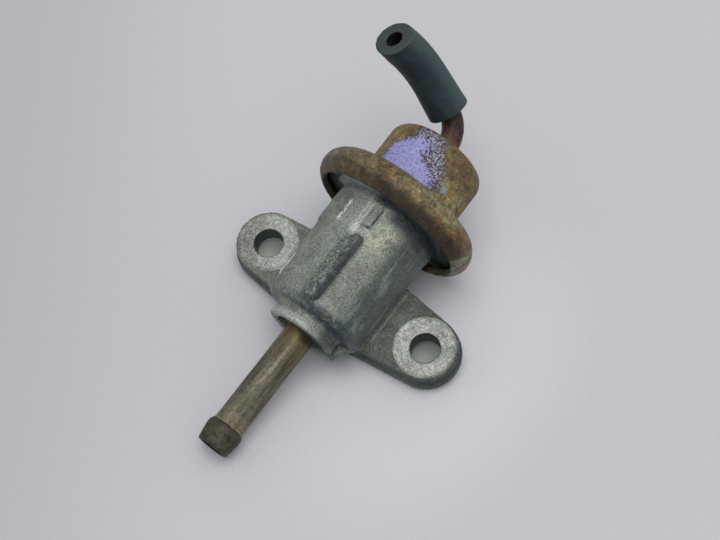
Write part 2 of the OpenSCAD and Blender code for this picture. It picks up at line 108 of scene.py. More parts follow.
class Tree:
    """A material's node tree with short calls.

    Places are in millimetres of the object's own frame, which for a piece is the part's frame. Along runs
    down the body's axis towards the cover. The angle round the axis is 90 degrees on top, 0 on the +X side
    and 180 on the -X side.
    """

    def __init__(self, name):
        self.material = bpy.data.materials.new(name)
        self.material.use_nodes = True
        self.nodes = self.material.node_tree.nodes
        self.links = self.material.node_tree.links
        self.shader = self.nodes["Principled BSDF"]
        coordinates = self.nodes.new("ShaderNodeTexCoord").outputs
        self.facing = coordinates["Normal"]
        self.place = self.vector("SCALE", coordinates["Object"], 1 / MM)
        split = self.nodes.new("ShaderNodeSeparateXYZ")
        self.links.new(self.place, split.inputs[0])
        self.x, self.y, self.z = split.outputs
        self.along = self.times(self.y, -1.0)
        up = self.minus(self.z, AXIS_Z)
        self.radius = self.length(self.x, up)
        from_top = self.math("ARCTAN2", self.times(self.x, -1.0), up)
        degrees = self.times(from_top, 180 / math.pi)
        self.angle = self.plus(TOP_DEG, degrees)
        # The same angle, eased to one value underneath and on the axis so that it has no seam there
        not_under = self.ramp(self.math("ABSOLUTE", degrees), *SEAM_FADE_DEG)
        off_axis = self.ramp(self.radius, *SEAM_FADE_MM)
        self.lean = self.plus(TOP_DEG, self.times(degrees, self.both(not_under, off_axis)))

    def feed(self, socket, value):
        """Links a socket to an output, or sets its number, vector or colour."""
        if isinstance(value, bpy.types.NodeSocket):
            self.links.new(value, socket)
        elif socket.type == "RGBA":
            socket.default_value = (*value, 1.0)
        else:
            socket.default_value = value

    def math(self, operation, a, b=0.0):
        node = self.nodes.new("ShaderNodeMath")
        node.operation = operation
        self.feed(node.inputs[0], a)
        self.feed(node.inputs[1], b)
        return node.outputs[0]

    def plus(self, a, b):
        return self.math("ADD", a, b)

    def minus(self, a, b):
        return self.math("SUBTRACT", a, b)

    def times(self, a, b):
        return self.math("MULTIPLY", a, b)

    def length(self, a, b):
        """How long an arrow is that goes a one way and b the other."""
        return self.math("SQRT", self.plus(self.math("POWER", a, 2.0), self.math("POWER", b, 2.0)))

    def vector_node(self, operation, a, b):
        node = self.nodes.new("ShaderNodeVectorMath")
        node.operation = operation
        self.feed(node.inputs[0], a)
        self.feed(node.inputs["Scale" if operation == "SCALE" else 1], b)
        return node

    def vector(self, operation, a, b):
        return self.vector_node(operation, a, b).outputs["Vector"]

    def dot(self, a, b):
        return self.vector_node("DOT_PRODUCT", a, b).outputs["Value"]

    def noise(self, per_mm, detail, rough, warp=0.0, stretch=None, shift=0.0):
        """Fractal noise from 0 to 1, with about so many blobs to a millimetre."""
        node = self.nodes.new("ShaderNodeTexNoise")
        place = self.place
        if stretch:
            place = self.vector("MULTIPLY", place, stretch)
        if shift:
            place = self.vector("ADD", place, (shift, -shift, 0.5 * shift))
        self.feed(node.inputs["Vector"], place)
        self.feed(node.inputs["Scale"], per_mm)
        self.feed(node.inputs["Detail"], detail)
        self.feed(node.inputs["Roughness"], rough)
        self.feed(node.inputs["Distortion"], warp)
        return node.outputs[0]

    def edges(self):
        """Above 0.5 on sharp edges, below it in corners."""
        return self.nodes.new("ShaderNodeNewGeometry").outputs["Pointiness"]

    def ramp(self, value, low, high, start=0.0, end=1.0):
        """Eases from start to end as value goes from low to high."""
        node = self.nodes.new("ShaderNodeMapRange")
        node.interpolation_type = "SMOOTHSTEP"
        self.feed(node.inputs["Value"], value)
        self.feed(node.inputs["From Min"], low)
        self.feed(node.inputs["From Max"], high)
        self.feed(node.inputs["To Min"], start)
        self.feed(node.inputs["To Max"], end)
        return node.outputs[0]

    def vary(self, value, start=0.0, end=1.0):
        """Eases from start to end over most of a noise's range."""
        return self.ramp(value, NOISE_LOW, NOISE_HIGH, start, end)

    def band(self, value, low, high, soft):
        """1 between low and high, easing to 0 over soft on both sides of each."""
        rise = self.ramp(value, low - soft, low + soft)
        fall = self.ramp(value, high - soft, high + soft, 1.0, 0.0)
        return self.times(rise, fall)

    def zone(self, angle, along, around=None):
        """1 on a patch of the surface. Angle and along each give the low end, the high end and softness."""
        if around is None:
            around = self.angle
        return self.both(self.band(around, *angle), self.band(self.along, *along))

    def near(self, point, reach, soft):
        """1 within reach of a point, easing to 0 over soft on both sides of that distance."""
        distance = self.vector_node("DISTANCE", self.place, point).outputs["Value"]
        return self.ramp(self.minus(distance, reach), -soft, soft, 1.0, 0.0)

    def both(self, *masks):
        """1 where every mask is 1."""
        product = masks[0]
        for mask in masks[1:]:
            product = self.times(product, mask)
        return product

    def either(self, a, b):
        """1 where one of two masks is 1."""
        return self.math("MAXIMUM", a, b)

    def mix(self, amount, a, b):
        """Colour a where amount is 0, colour b where it is 1."""
        node = self.nodes.new("ShaderNodeMix")
        node.data_type = "RGBA"
        self.feed(node.inputs[MIX_FACTOR], amount)
        for place, colour in zip(MIX_COLOURS, (a, b)):
            self.feed(node.inputs[place], colour)
        return node.outputs[MIX_COLOUR_OUT]

    def stain(self, colour, mask, strength, tone):
        """Lays a tone over a colour where the mask is, at a strength of up to 1."""
        return self.mix(self.times(mask, strength), colour, tone)

    def blend_number(self, amount, a, b):
        """Number a where amount is 0, number b where it is 1."""
        node = self.nodes.new("ShaderNodeMix")
        self.feed(node.inputs[MIX_FACTOR], amount)
        for place, number in zip(MIX_NUMBERS, (a, b)):
            self.feed(node.inputs[place], number)
        return node.outputs[MIX_NUMBER_OUT]

    def shade(self, colour, factor):
        """Colour times a grey factor."""
        return self.vector("SCALE", colour, factor)

    def bump(self, height, distance_mm, strength, before=None):
        node = self.nodes.new("ShaderNodeBump")
        self.feed(node.inputs["Strength"], strength)
        self.feed(node.inputs["Distance"], distance_mm * MM)
        self.feed(node.inputs["Height"], height)
        if before:
            self.links.new(before, node.inputs["Normal"])
        return node.outputs[0]

    def finish(self, colour, roughness, metallic, normal):
        self.feed(self.shader.inputs["Base Color"], colour)
        self.feed(self.shader.inputs["Roughness"], roughness)
        self.feed(self.shader.inputs["Metallic"], metallic)
        self.links.new(normal, self.shader.inputs["Normal"])
        return self.material


# Material of the casting

CAST_DARK = (0.146, 0.172, 0.150)
CAST_PALE = (0.242, 0.272, 0.238)
CAST_FLECK = (0.34, 0.36, 0.32)
BOSS_METAL = (0.41, 0.43, 0.41)
CLEAN_METAL = (0.36, 0.39, 0.36)
PAINTED_HIGHLIGHT_METAL = (0.50, 0.53, 0.50)
COLLAR_PAINTED_LIGHT = (0.31, 0.34, 0.32)
FLANK_BROWN = (0.170, 0.166, 0.145)
FLANK_PALE = (0.300, 0.310, 0.270)
WARM_METAL = (0.46, 0.44, 0.33)
SIDE_STAIN = (0.062, 0.079, 0.078)
COVER_STAIN_AND_SHADOW = (0.024, 0.034, 0.043)
LIP_SHADOW = (0.008, 0.012, 0.012)
VALLEY_STAIN = (0.030, 0.042, 0.058)
RIB_ROUGH_DARK = (0.066, 0.082, 0.077)
RIB_ROUGH_PALE = (0.250, 0.285, 0.265)
RIB_SMOOTH_DARK = (0.042, 0.052, 0.054)
RIB_SMOOTH_PALE = (0.092, 0.107, 0.105)
RIB_END = (0.088, 0.107, 0.098)
CRACK_AND_SHADOW = (0.030, 0.038, 0.038)
SEAM_SHADOW = (0.030, 0.036, 0.034)
SEAM_HIGHLIGHT = (0.54, 0.56, 0.54)
FOOT_HIGHLIGHT = (0.33, 0.34, 0.32)
WORN_EDGE_AND_HIGHLIGHT = (0.40, 0.42, 0.39)
MOUTH_SHADOW = (0.012, 0.013, 0.013)
RING_PIT = (0.190, 0.200, 0.180)
RING_BRIGHT = (0.475, 0.485, 0.448)
RING_DULL_TOWARDS = (0.8, 0.6, 0.0)
FACE_METAL = (0.40, 0.41, 0.39)
WANDER_DEG = 7.0
WANDER_ALONG = 0.8
WANDER_ACROSS = 0.9
BREAK_WANDER = 3.2
STAIN_WANDER = 5.0


def cast_noises(tree):
    """The noises that the casting's marks share."""
    noises = SimpleNamespace()
    noises.broad = tree.noise(per_mm=0.16, detail=5.0, rough=0.6, warp=0.4)
    noises.mottle = tree.noise(per_mm=0.7, detail=5.0, rough=0.65)
    noises.grain = tree.noise(per_mm=3.0, detail=3.0, rough=0.7)
    noises.streak = tree.noise(per_mm=0.45, detail=4.0, rough=0.6, stretch=(1.0, 0.25, 1.0), shift=9.0)
    noises.pits = tree.noise(per_mm=1.6, detail=5.0, rough=0.75, shift=17.0)
    noises.crumbs = tree.noise(per_mm=2.3, detail=4.0, rough=0.70, shift=23.0)
    # Cracks and seams wander a little to both sides of their line
    noises.wander = tree.minus(noises.mottle, NOISE_MIDDLE)
    noises.loose_angle = tree.plus(tree.angle, tree.times(noises.wander, WANDER_DEG))
    noises.loose_along = tree.plus(tree.along, tree.times(noises.wander, WANDER_ALONG))
    noises.loose_x = tree.plus(tree.x, tree.times(noises.wander, WANDER_ACROSS))
    return noises


def cleaner_metal_and_painted_light(tree, noises, colour):
    """The boss, a patch, a strip of painted highlight, a collar below the cover lightened with painted
    light, and a worn flank beside the rib.
    """
    boss = tree.both(tree.ramp(tree.along, -11.3, -12.4), tree.band(tree.angle, 20, 112, 16))
    colour = tree.stain(colour, boss, 0.8, BOSS_METAL)
    patch = tree.zone(angle=(64, 80, 4), along=(7.5, 13.6, 1.2))
    colour = tree.stain(colour, patch, 0.5, CLEAN_METAL)
    # Painted highlight on a strip where a facet beside the tongue faces the light
    highlight_strip = tree.zone(angle=(80, 88, 1.8), along=(6.9, 14.8, 0.8))
    colour = tree.stain(colour, highlight_strip, 0.8, PAINTED_HIGHLIGHT_METAL)
    # Painted light on the collar below the cover, lifting it out of the cover's shade
    lit_collar = tree.both(tree.ramp(tree.along, 13.2, 14.8), tree.ramp(tree.lean, 98, 88))
    colour = tree.stain(colour, lit_collar, 0.8, COLLAR_PAINTED_LIGHT)
    # The flank is browner at its lower end and warm near the cover
    flank = tree.both(tree.zone(angle=(102, 126, 8), along=(-8, 12, 2.5)),
                      tree.ramp(noises.streak, 0.30, 0.62))
    flank_tone = tree.mix(tree.ramp(tree.along, 0.0, 6.0), FLANK_BROWN, FLANK_PALE)
    colour = tree.stain(colour, flank, 0.7, flank_tone)
    warm = tree.both(tree.zone(angle=(104, 130, 9), along=(6, 12, 1.6)),
                     tree.ramp(noises.mottle, 0.36, 0.60))
    return tree.stain(colour, warm, 0.65, WARM_METAL)


def stains_and_painted_shadows(tree, noises, colour):
    """Bands along the far side, blue-black stains under the cover and in the shoulder at the boss, and
    painted shadow under and behind the cover's lip.
    """
    side = tree.both(tree.band(tree.angle, 132, 205, 9), tree.ramp(noises.streak, 0.26, 0.52))
    colour = tree.stain(colour, side, 0.85, SIDE_STAIN)
    uneven_along = tree.plus(tree.along, tree.times(noises.broad, STAIN_WANDER))
    under_cover = tree.both(tree.ramp(uneven_along, 14.4, 16.6), tree.ramp(tree.lean, 96, 116))
    # A painted shadow line just under the cover's lip, in the stain's colour
    lip_shadow_line = tree.both(tree.ramp(uneven_along, 16.6, 18.4), tree.ramp(tree.lean, 72, 94))
    colour = tree.stain(colour, tree.either(under_cover, lip_shadow_line), 0.88, COVER_STAIN_AND_SHADOW)
    # The gap behind the cover's lip
    behind_lip = tree.both(tree.ramp(tree.along, 15.2, 16.0), tree.ramp(tree.radius, 12.8, 13.6),
                           tree.ramp(tree.lean, 104, 92))
    past_corner = tree.both(tree.ramp(tree.along, 14.8, 15.8), tree.ramp(tree.lean, 10, 3))
    colour = tree.stain(colour, tree.either(behind_lip, past_corner), 0.9, LIP_SHADOW)
    valley = tree.both(tree.zone(angle=(78, 165, 14), along=(-11.0, -8.4, 0.7)),
                       tree.ramp(tree.radius, 6.9, 7.6), tree.ramp(noises.mottle, 0.28, 0.55))
    return tree.stain(colour, valley, 0.85, VALLEY_STAIN)


def gate_rib(tree, noises, colour):
    """The rib is broken rough on one side and smooth and dark on the other, its dark partly a stain and
    partly painted shade.
    """
    rib = tree.both(tree.band(noises.loose_x, -2.5, 1.9, 0.40), tree.band(tree.along, -8.7, 7.1, 0.4),
                    tree.ramp(tree.radius, 11.15, 11.35))
    rough_side = tree.mix(tree.ramp(noises.crumbs, 0.40, 0.62), RIB_ROUGH_DARK, RIB_ROUGH_PALE)
    # The smooth side's dark is partly painted shade on the flank turned from the light
    smooth_side = tree.mix(tree.ramp(noises.mottle, 0.4, 0.7), RIB_SMOOTH_DARK, RIB_SMOOTH_PALE)
    smooth_side = tree.mix(tree.ramp(tree.along, 3.0, 6.0), smooth_side, RIB_END)
    # The rough side narrows towards the cover
    across = tree.plus(tree.x, tree.times(noises.wander, BREAK_WANDER))
    across = tree.minus(across, tree.ramp(tree.along, 4.0, 6.5, 0.0, 1.5))
    return tree.mix(rib, colour, tree.mix(tree.ramp(across, -1.2, -0.4), smooth_side, rough_side))


def cracks_with_painted_light(tree, noises, colour):
    """Dark cracks with painted shadow round the raised tongue below the cover, painted highlight on the
    side pad's step, and painted shadow and highlight at a seam near one ear.
    """
    # Painted shadow lines at the raised tongue's edges, partly cracks
    right = tree.both(tree.zone(angle=(97.3, 98.7, 0.5), along=(9.2, 14.0, 0.3), around=noises.loose_angle),
                      tree.ramp(noises.pits, 0.30, 0.45))
    left = tree.both(tree.zone(angle=(89.3, 90.3, 0.4), along=(9.4, 13.4, 0.3), around=noises.loose_angle),
                     tree.ramp(noises.pits, 0.40, 0.52))
    end = tree.both(tree.band(tree.angle, 91, 98, 1.0), tree.band(noises.loose_along, 9.1, 9.5, 0.12))
    colour = tree.stain(colour, tree.either(tree.either(right, left), end), 0.8, CRACK_AND_SHADOW)
    # Painted highlight on the lit face of the side pad's step
    step = tree.zone(angle=(61.9, 63.4, 0.5), along=(7.9, 12.6, 0.5), around=noises.loose_angle)
    colour = tree.stain(colour, step, 0.75, PAINTED_HIGHLIGHT_METAL)
    # The seam is a dark groove of painted shadow with a bright lip of painted highlight
    outside = tree.ramp(tree.radius, 10.6, 10.8)
    seam_shade = tree.zone(angle=(22.0, 32.0, 1.5), along=(-7.6, -1.7, 0.4), around=noises.loose_angle)
    colour = tree.stain(colour, tree.both(seam_shade, outside), 0.9, SEAM_SHADOW)
    lip = tree.zone(angle=(33.8, 38.0, 1.2), along=(-7.0, -1.7, 0.4), around=noises.loose_angle)
    return tree.stain(colour, tree.both(lip, outside), 0.8, SEAM_HIGHLIGHT)


def flange_shade(tree, colour):
    """The flange is darker, its walls darker still, with a painted highlight line along the fillet at the
    far side's foot.
    """
    colour = tree.shade(colour, tree.ramp(tree.z, 5.3, 6.0, 0.62, 1.0))
    colour = tree.shade(colour, tree.ramp(tree.z, 3.9, 4.8, 0.60, 1.0))
    # Painted highlight where the fillet at the body's foot catches the light
    foot = tree.both(tree.band(tree.x, -10.7, -10.1, 0.18), tree.band(tree.along, -5.0, 7.0, 0.6),
                     tree.ramp(tree.z, 6.0, 5.4))
    return tree.stain(colour, foot, 0.65, FOOT_HIGHLIGHT)


def cast_grain(tree, noises, colour):
    """Grain over everything cast, with worn edges that are also a painted highlight, painted shade in
    corners and painted shadow in the boss's mouth.
    """
    colour = tree.shade(colour, tree.vary(noises.grain, 0.54, 1.52))
    colour = tree.shade(colour, tree.ramp(noises.pits, 0.26, 0.42, 0.60, 1.0))
    edges = tree.edges()
    # Painted shade in corners, and worn edges lightened partly as painted highlight
    colour = tree.shade(colour, tree.ramp(edges, 0.40, 0.49, 0.50, 1.0))
    colour = tree.stain(colour, tree.ramp(edges, 0.53, 0.62), 0.40, WORN_EDGE_AND_HIGHLIGHT)
    mouth = tree.both(tree.ramp(tree.along, -11.5, -12.0), tree.ramp(tree.radius, 5.1, 4.8))
    return tree.mix(mouth, colour, MOUTH_SHADOW)


def bolt_rings(tree):
    """1 on the machined rings round the bolt holes."""
    ring = tree.length(tree.minus(tree.math("ABSOLUTE", tree.x), BOLT_X), tree.y)
    return tree.both(tree.ramp(ring, SPOT_FACE_R - 0.05, SPOT_FACE_R + 0.10, 1.0, 0.0),
                     tree.ramp(ring, BOLT_R - 0.02, BOLT_R + 0.10),
                     tree.band(tree.z, SPOT_FACE_Z - 0.3, SPOT_FACE_Z + 0.5, 0.1))


def ring_metal(tree, noises):
    """Machined metal, pitted so that it sparkles, and dull at one end of the flange."""
    sparkle = tree.noise(per_mm=2.5, detail=4.0, rough=0.75, shift=2.0)
    bright = tree.mix(tree.ramp(sparkle, 0.38, 0.64), RING_PIT, RING_BRIGHT)
    bright = tree.shade(bright, tree.ramp(noises.broad, 0.34, 0.66, 0.82, 1.12))
    bright = tree.shade(bright, tree.ramp(noises.mottle, 0.34, 0.66, 0.86, 1.12))
    return tree.shade(bright, tree.ramp(tree.dot(tree.place, RING_DULL_TOWARDS), 14.0, 20.5, 1.03, 0.60))


def cast_aluminium():
    """Dull grainy casting: stained dark under the cover and at the shoulder, with painted shadow and
    highlight at the lip, the tongue, the seam and the edges, machined round the bolts.
    """
    tree = Tree("cast_aluminium")
    noises = cast_noises(tree)
    colour = tree.mix(tree.ramp(noises.broad, 0.36, 0.64), CAST_DARK, CAST_PALE)
    colour = tree.stain(colour, tree.ramp(noises.mottle, 0.5, 0.72), 0.45, CAST_FLECK)
    colour = cleaner_metal_and_painted_light(tree, noises, colour)
    colour = stains_and_painted_shadows(tree, noises, colour)
    colour = gate_rib(tree, noises, colour)
    colour = cracks_with_painted_light(tree, noises, colour)
    colour = flange_shade(tree, colour)
    colour = cast_grain(tree, noises, colour)
    machined = bolt_rings(tree)
    colour = tree.mix(machined, colour, ring_metal(tree, noises))
    mounting_face = tree.ramp(tree.z, 0.02, 0.12, 1.0, 0.0)
    colour = tree.stain(colour, mounting_face, 0.8, FACE_METAL)
    rough = tree.blend_number(machined, tree.vary(noises.mottle, 0.62, 0.46), 0.45)
    normal = tree.bump(noises.grain, distance_mm=0.10, strength=0.6)
    normal = tree.bump(noises.mottle, distance_mm=0.35, strength=0.35, before=normal)
    return tree.finish(colour, rough, metallic=0.35, normal=normal)


# Material of the cover

RUST_DARK = (0.079, 0.052, 0.022)
RUST_PALE = (0.170, 0.117, 0.048)
OLIVE_GOLD = (0.215, 0.176, 0.076)
RIM_GREY = (0.136, 0.128, 0.090)
RIM_GREEN = (0.205, 0.222, 0.172)
RIM_RED = (0.120, 0.052, 0.022)
PALE_BLOOM = (0.260, 0.248, 0.140)
DOME_FOOT = (0.350, 0.315, 0.140)
DOME_BROWN = (0.135, 0.086, 0.037)
DOME_TAN = (0.275, 0.188, 0.078)
RUST_ORANGE = (0.188, 0.092, 0.030)
RUST_BLACK = (0.030, 0.020, 0.012)
PAINT_GAP = (0.055, 0.036, 0.042)
LAVENDER_DARK = (0.245, 0.238, 0.515)
LAVENDER_PALE = (0.400, 0.392, 0.740)
LAVENDER_WORN = (0.350, 0.342, 0.490)
BLUE_FLECK = (0.255, 0.310, 0.335)
PAINT_EDGE_DEG = 30.0


def cover_noises(tree):
    """The noises that the cover's marks share."""
    noises = SimpleNamespace()
    noises.broad = tree.noise(per_mm=0.13, detail=5.0, rough=0.62, warp=0.5)
    noises.mottle = tree.noise(per_mm=0.65, detail=6.0, rough=0.70, warp=0.4)
    noises.fine = tree.noise(per_mm=2.4, detail=4.0, rough=0.72)
    noises.scale = tree.noise(per_mm=0.75, detail=5.0, rough=0.70, warp=0.3, shift=37.0)
    noises.drawn = tree.noise(per_mm=0.9, detail=4.0, rough=0.65, stretch=(1.0, 0.3, 1.0), shift=3.0)
    # Plating survives as olive gold, more on the side away from the rib
    gold = tree.noise(per_mm=0.30, detail=5.0, rough=0.65, shift=13.0)
    noises.gilt = tree.plus(gold, tree.ramp(tree.lean, 90, 150, -0.06, 0.06))
    return noises


def old_plating(tree, noises):
    """What the plating has turned into: olive, greyer at the rim's two ends, brown on the dome."""
    colour = tree.mix(tree.ramp(noises.mottle, 0.36, 0.64), RUST_DARK, RUST_PALE)
    colour = tree.stain(colour, tree.ramp(noises.gilt, 0.46, 0.62), 0.75, OLIVE_GOLD)
    rim = tree.ramp(tree.along, 23.2, 21.8)
    grey = tree.both(tree.ramp(tree.lean, 88, 40), rim, tree.ramp(noises.broad, 0.26, 0.50))
    colour = tree.stain(colour, grey, 0.75, RIM_GREY)
    green = tree.both(tree.ramp(tree.lean, 164, 178), rim, tree.ramp(noises.mottle, 0.26, 0.50))
    colour = tree.stain(colour, green, 0.8, RIM_GREEN)
    # Pale greenish bloom where the rim meets the dome, and drawn out on the dome's foot
    bloom = tree.both(tree.zone(angle=(104, 152, 12), along=(18.4, 22.0, 0.8)), rim,
                      tree.ramp(noises.scale, 0.36, 0.58))
    colour = tree.stain(colour, bloom, 0.75, PALE_BLOOM)
    foot = tree.both(tree.zone(angle=(128, 178, 9), along=(23.0, 27.6, 1.5)),
                     tree.ramp(noises.drawn, 0.34, 0.54))
    colour = tree.stain(colour, foot, 0.75, DOME_FOOT)
    brown = tree.both(tree.ramp(tree.along, 23.0, 24.5), tree.ramp(tree.lean, 98, 112),
                      tree.ramp(noises.mottle, 0.30, 0.56, 0.4, 1.0), tree.minus(1.0, foot))
    return tree.stain(colour, brown, 0.75, DOME_BROWN)


def rust_patches(tree, noises, colour):
    """Rust breaks through in patches, and the dome's near edge is tan."""
    patches = tree.noise(per_mm=0.40, detail=6.0, rough=0.7, shift=21.0)
    rust = tree.plus(patches, tree.ramp(tree.lean, 60, 150, -0.03, 0.02))
    colour = tree.stain(colour, tree.ramp(rust, 0.50, 0.64), 0.75, RUST_ORANGE)
    tan = tree.both(tree.ramp(tree.along, 22.8, 24.5), tree.ramp(tree.lean, 70, 54),
                    tree.ramp(noises.drawn, 0.36, 0.60))
    colour = tree.stain(colour, tan, 0.8, DOME_TAN)
    red = tree.both(tree.zone(angle=(145, 168, 5), along=(15.5, 19.6, 0.7)),
                    tree.ramp(noises.scale, 0.30, 0.52))
    colour = tree.stain(colour, red, 0.85, RIM_RED)
    scabs = tree.noise(per_mm=0.9, detail=5.0, rough=0.7, shift=31.0)
    return tree.stain(colour, tree.ramp(scabs, 0.58, 0.70), 0.7, RUST_BLACK)


def cover_dirt(tree, noises, colour):
    """Dirt in the corner round the dome, darker along the lip but less so at its two ends, with blotches
    and grain over everything.
    """
    corner = tree.both(tree.band(tree.along, 21.6, 22.4, 0.4), tree.ramp(tree.radius, 12.7, 12.0))
    colour = tree.shade(colour, tree.minus(1.0, tree.times(corner, 0.45)))
    # Darker along the lip, less so at its two ends
    lighter_lip_ends = tree.either(tree.ramp(tree.lean, 96, 60, 0.24, 0.62),
                            tree.ramp(tree.lean, 165, 173, 0.24, 1.0))
    colour = tree.shade(colour, tree.either(tree.ramp(tree.along, 16.4, 18.2, 0.24, 1.0), lighter_lip_ends))
    blotch = tree.noise(per_mm=0.50, detail=5.0, rough=0.70, warp=0.5, shift=43.0)
    colour = tree.shade(colour, tree.ramp(blotch, 0.36, 0.64, 0.68, 1.30))
    return tree.shade(colour, tree.vary(noises.fine, 0.56, 1.50))


def lavender_paint(tree, noises, colour):
    """Paint, solid in a triangle on the dome and broken into flecks towards one side and the top.

    Gives the colour with the paint on it, and a mask that is 1 on the paint.
    """
    ragged = tree.noise(per_mm=0.9, detail=6.0, rough=0.82, shift=7.0)
    jagged = tree.times(tree.minus(ragged, NOISE_MIDDLE), PAINT_EDGE_DEG)
    past_left = tree.plus(tree.minus(tree.angle, tree.ramp(tree.along, 27.0, 31.0, 56, 76)), jagged)
    past_right = tree.plus(tree.minus(tree.ramp(tree.along, 24.5, 28.0, 114, 90), tree.angle), jagged)
    past_flecks = tree.plus(tree.minus(tree.ramp(tree.along, 26.0, 33.5, 125, 103), tree.angle), jagged)
    solid = tree.both(tree.ramp(past_left, -2, 3), tree.ramp(past_right, -9, 5),
                      tree.ramp(tree.along, 31.6, 30.2))
    thin = tree.both(tree.ramp(past_left, -9, -2), tree.ramp(past_flecks, -9, 6),
                     tree.ramp(tree.along, 34.2, 33.2))
    on_wall = tree.both(tree.ramp(tree.radius, 8.6, 9.6), tree.ramp(tree.along, 22.1, 22.5))
    spread = tree.both(on_wall, tree.plus(tree.times(thin, 0.45), tree.times(solid, 0.46)))
    specks = tree.noise(per_mm=2.6, detail=3.0, rough=0.75, shift=5.0)
    flecks = tree.ramp(specks, 0.32, 0.68)
    painted = tree.both(tree.ramp(tree.minus(spread, flecks), -0.05, 0.05), tree.ramp(spread, 0.02, 0.10))
    colour = tree.stain(colour, tree.ramp(spread, 0.05, 0.5), 0.88, PAINT_GAP)
    lavender = tree.mix(tree.vary(noises.fine), LAVENDER_DARK, LAVENDER_PALE)
    worn = tree.either(tree.ramp(past_right, -2, -16), tree.ramp(tree.along, 30.0, 31.6))
    lavender = tree.mix(worn, lavender, LAVENDER_WORN)
    return tree.mix(painted, colour, lavender), painted


def rusted_zinc():
    """Yellow zinc gone to rust, with a blotch of lavender paint on the dome that breaks up to one side."""
    tree = Tree("rusted_zinc")
    noises = cover_noises(tree)
    colour = old_plating(tree, noises)
    colour = rust_patches(tree, noises, colour)
    colour = cover_dirt(tree, noises, colour)
    colour, painted = lavender_paint(tree, noises, colour)
    blue = tree.near(BLUE_SPOT, tree.vary(noises.scale, 0.2, 1.5), 0.3)
    colour = tree.stain(colour, blue, 0.85, BLUE_FLECK)
    rough = tree.blend_number(painted, tree.vary(noises.mottle, 0.70, 0.48), 0.55)
    metallic = tree.blend_number(painted, tree.ramp(noises.gilt, 0.48, 0.68, 0.10, 0.30), 0.0)
    normal = tree.bump(noises.fine, distance_mm=0.12, strength=0.6)
    normal = tree.bump(noises.mottle, distance_mm=0.40, strength=0.5, before=normal)
    normal = tree.bump(painted, distance_mm=0.06, strength=0.6, before=normal)
    return tree.finish(colour, rough, metallic=metallic, normal=normal)


# Materials of the two pipes

PIPE_RUST_DARK = (0.019, 0.011, 0.009)
PIPE_RUST_PALE = (0.075, 0.038, 0.025)
PIPE_RUST_PATCH = (0.105, 0.058, 0.032)
PIPE_RED = (0.150, 0.064, 0.038)
PIPE_OLIVE = (0.098, 0.078, 0.042)
PLATING_DARK = (0.069, 0.062, 0.040)
PLATING_PALE = (0.170, 0.156, 0.112)
PLATING_SPOT = (0.046, 0.038, 0.023)
ROOT_YELLOW = (0.165, 0.132, 0.045)
BEAD_DARK = (0.028, 0.022, 0.015)
BEAD_PALE = (0.084, 0.070, 0.050)
NECK_SPECKS = (0.42, 0.36, 0.20)
NECK_LINE = (0.34, 0.29, 0.19)
ROOT_SHADOW = (0.026, 0.022, 0.013)
PIPE_BORE = (0.03, 0.025, 0.02)


def rusted_pipe():
    """Thin steel pipe, brown with rust all over."""
    tree = Tree("rusted_pipe")
    mottle = tree.noise(per_mm=0.8, detail=6.0, rough=0.7, warp=0.4)
    fine = tree.noise(per_mm=3.0, detail=4.0, rough=0.7)
    patch = tree.noise(per_mm=0.6, detail=4.0, rough=0.6, shift=6.0)
    colour = tree.mix(tree.ramp(mottle, 0.38, 0.64), PIPE_RUST_DARK, PIPE_RUST_PALE)
    colour = tree.stain(colour, tree.ramp(patch, 0.52, 0.66), 0.6, PIPE_RUST_PATCH)
    red = tree.both(tree.band(tree.along, 36.4, 38.8, 0.7), tree.ramp(mottle, 0.36, 0.56))
    colour = tree.stain(colour, red, 0.6, PIPE_RED)
    # Olive at its foot, and painted shade darkening it to nearly black at the hose's mouth
    colour = tree.stain(colour, tree.ramp(tree.along, 37.5, 35.0), 0.6, PIPE_OLIVE)
    colour = tree.shade(colour, tree.ramp(tree.along, 38.0, 40.0, 1.0, 0.62))
    colour = tree.shade(colour, tree.ramp(fine, 0.32, 0.70, 0.58, 1.40))
    normal = tree.bump(tree.plus(mottle, tree.times(fine, 0.5)), distance_mm=0.22, strength=0.6)
    return tree.finish(colour, tree.vary(mottle, 0.6, 0.42), metallic=0.25, normal=normal)


